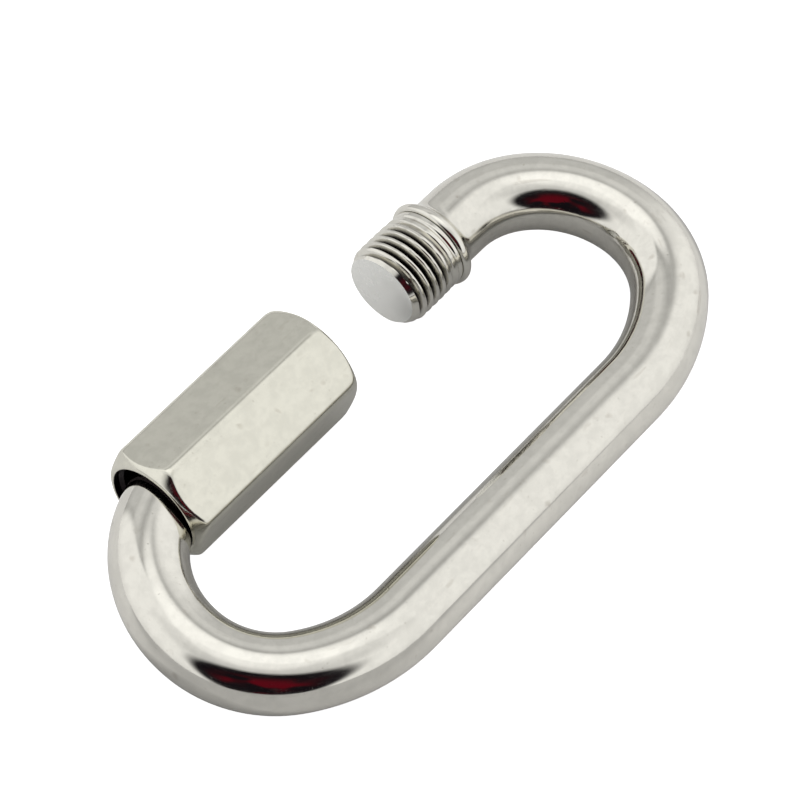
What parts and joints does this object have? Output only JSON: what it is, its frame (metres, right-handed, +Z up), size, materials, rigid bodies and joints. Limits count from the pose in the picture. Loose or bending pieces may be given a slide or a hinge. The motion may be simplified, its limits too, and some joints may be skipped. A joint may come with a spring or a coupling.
{
  "type": "chain quick link",
  "caption": "Oval quick link of bent round steel bar with a screw gate: a long hexagonal sleeve nut runs along the thread to close the gap and join chain.",
  "frame": {"origin": "middle of the link's box, on the ground that it lies on", "axes": "+X along the link from the open nut's bow to the stub's bow, which is the way the nut closes; +Y from the closed side to the gate; +Z up"},
  "size_m": [0.0756, 0.036, 0.0131],
  "materials": {
    "polished_bar": "polished stainless steel, bright, with soft streaks and fine pits",
    "polished_nut": "polished stainless steel with satin flats and softly rounded edges"
  },
  "bodies": {
    "link": {"link_bar": "polished_bar"},
    "nut": {"sleeve_nut": "polished_nut"}
  },
  "joints": [
    {"name": "nut_travel", "type": "slide", "parent": "link", "child": "nut", "axis": [1, 0, 0], "range_m": [0, 0.018]}
  ]
}
